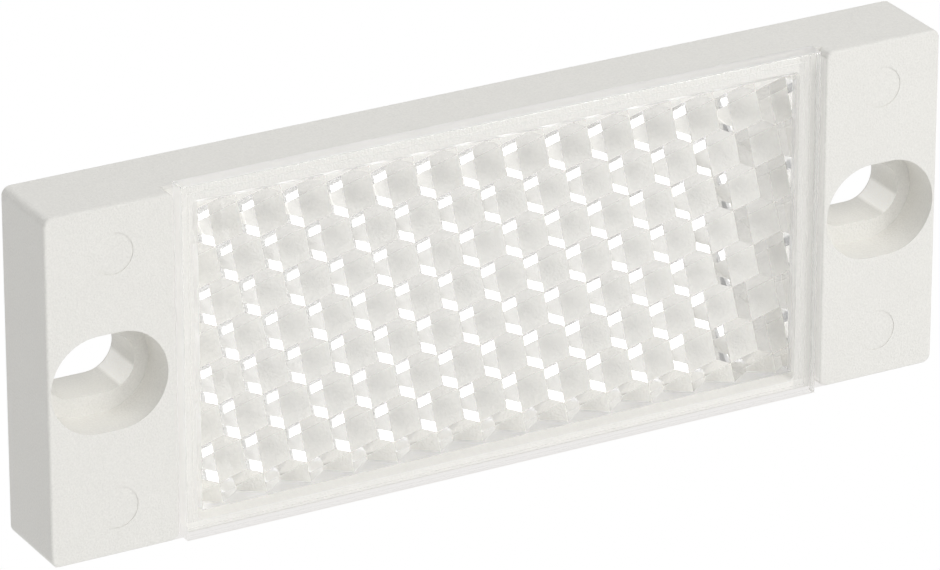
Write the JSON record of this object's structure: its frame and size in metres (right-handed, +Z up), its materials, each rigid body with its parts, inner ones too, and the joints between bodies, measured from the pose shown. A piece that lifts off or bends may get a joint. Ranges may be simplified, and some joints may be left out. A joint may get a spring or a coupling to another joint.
{
  "type": "prismatic reflector",
  "caption": "Rectangular screw-on reflector: white housing with slotted screw blocks at both ends and a clear prism lens that sends light back to its source.",
  "frame": {"origin": "centre of the flat back face", "axes": "+X along the length, -Y out of the front of the lens, +Y out of the back face, +Z up across the height"},
  "size_m": [0.083, 0.008, 0.0309],
  "materials": {
    "white_plastic": "fine matte grain",
    "clear_acrylic": "clear and polished"
  },
  "bodies": {
    "root": {"housing": "white_plastic", "prism_lens": "clear_acrylic"}
  },
  "joints": []
}
